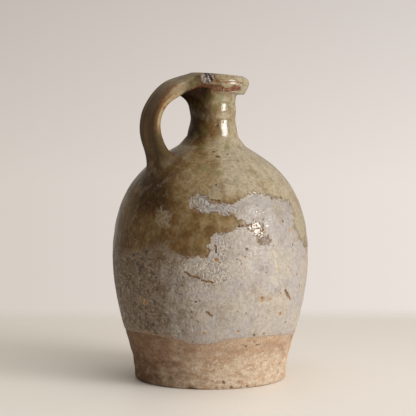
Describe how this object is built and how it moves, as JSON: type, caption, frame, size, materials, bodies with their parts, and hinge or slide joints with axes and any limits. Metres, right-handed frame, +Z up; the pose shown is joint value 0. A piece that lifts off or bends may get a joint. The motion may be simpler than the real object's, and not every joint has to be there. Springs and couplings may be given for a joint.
{
  "type": "earthenware jug",
  "caption": "Egg-shaped earthenware jug with a strap handle, a narrow neck, a thick leaning mouth rim and a part-glazed shoulder, for keeping, carrying and pouring water.",
  "frame": {"origin": "on the jug's axis, in the plane of the foot that stands on the table", "axes": "+Z up along the jug's axis, -X towards the strap handle, Y square to the plane of the handle"},
  "size_m": [0.1688, 0.1688, 0.2641],
  "materials": {
    "bare_clay": "unglazed buff earthenware, matt",
    "joint_slip": "fired lute slip, matt",
    "pale_engobe": "pale slip dip, matt and worn",
    "olive_glaze": "olive brown lead glaze, glossy",
    "lining_glaze": "thin clear brown lining glaze"
  },
  "bodies": {
    "root": {"lower_body": "bare_clay", "shoulder_dome": "bare_clay", "neck_collar": "bare_clay", "mouth_rim": "bare_clay", "strap_handle": "bare_clay", "belly_joint_slip": "joint_slip", "neck_joint_slip": "joint_slip", "rim_joint_slip": "joint_slip", "handle_top_slip": "joint_slip", "handle_root_slip": "joint_slip", "engobe_coat": "pale_engobe", "neck_engobe": "pale_engobe", "shoulder_glaze": "olive_glaze", "neck_glaze": "olive_glaze", "rim_glaze": "olive_glaze", "handle_glaze": "olive_glaze", "inner_glaze": "lining_glaze"}
  },
  "joints": []
}
